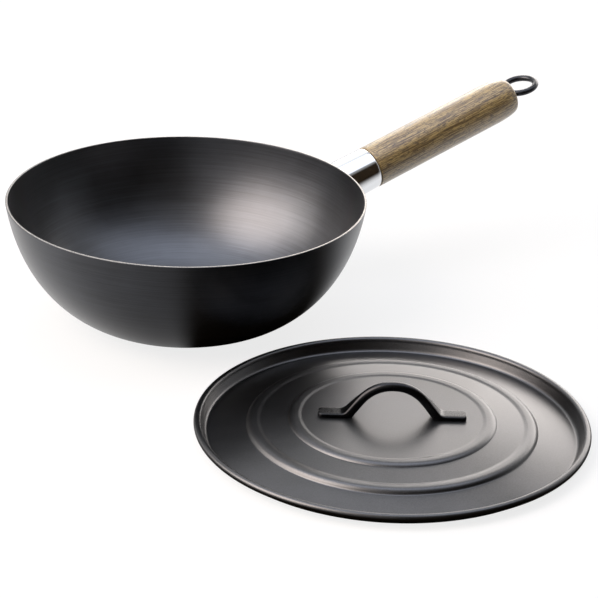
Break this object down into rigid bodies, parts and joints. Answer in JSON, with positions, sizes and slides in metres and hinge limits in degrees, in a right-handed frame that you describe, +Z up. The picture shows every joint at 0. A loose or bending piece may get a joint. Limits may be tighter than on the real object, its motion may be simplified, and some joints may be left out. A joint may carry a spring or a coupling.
{
  "type": "wok",
  "caption": "Deep round-sided iron wok with a flat base, chromed socket and turned wooden grip with a hanging ring; its stepped lid with an arched bar handle lies beside it.",
  "frame": {"origin": "centre of the bowl's flat base, on the table", "axes": "+Z up, +X along the handle as seen from above, so the lid lies on the -Y side"},
  "size_m": [0.4568, 0.4966, 0.1294],
  "materials": {
    "bowl_iron": "satin blue-black iron with fine turning lines",
    "socket_chrome": "polished chrome plate",
    "plain_steel": "plain bright steel",
    "grip_wood": "turned and oiled hardwood with fine dark pores",
    "black_wire": "glossy blackened steel",
    "lid_steel": "satin blackened sheet steel"
  },
  "bodies": {
    "wok": {"wok_bowl": "bowl_iron", "handle_socket": "socket_chrome", "socket_weld": "bowl_iron", "anchor_plate": "plain_steel", "anchor_nut": "plain_steel", "wood_grip": "grip_wood", "eye_rod": "black_wire", "end_washer": "plain_steel"},
    "lid": {"lid_plate": "lid_steel", "lid_handle": "lid_steel"}
  },
  "joints": [
    {"name": "lid_lift", "type": "slide", "parent": "wok", "child": "lid", "axis": [0.0308, -0.7064, 0.7071], "range_m": [0, 0.2]}
  ]
}
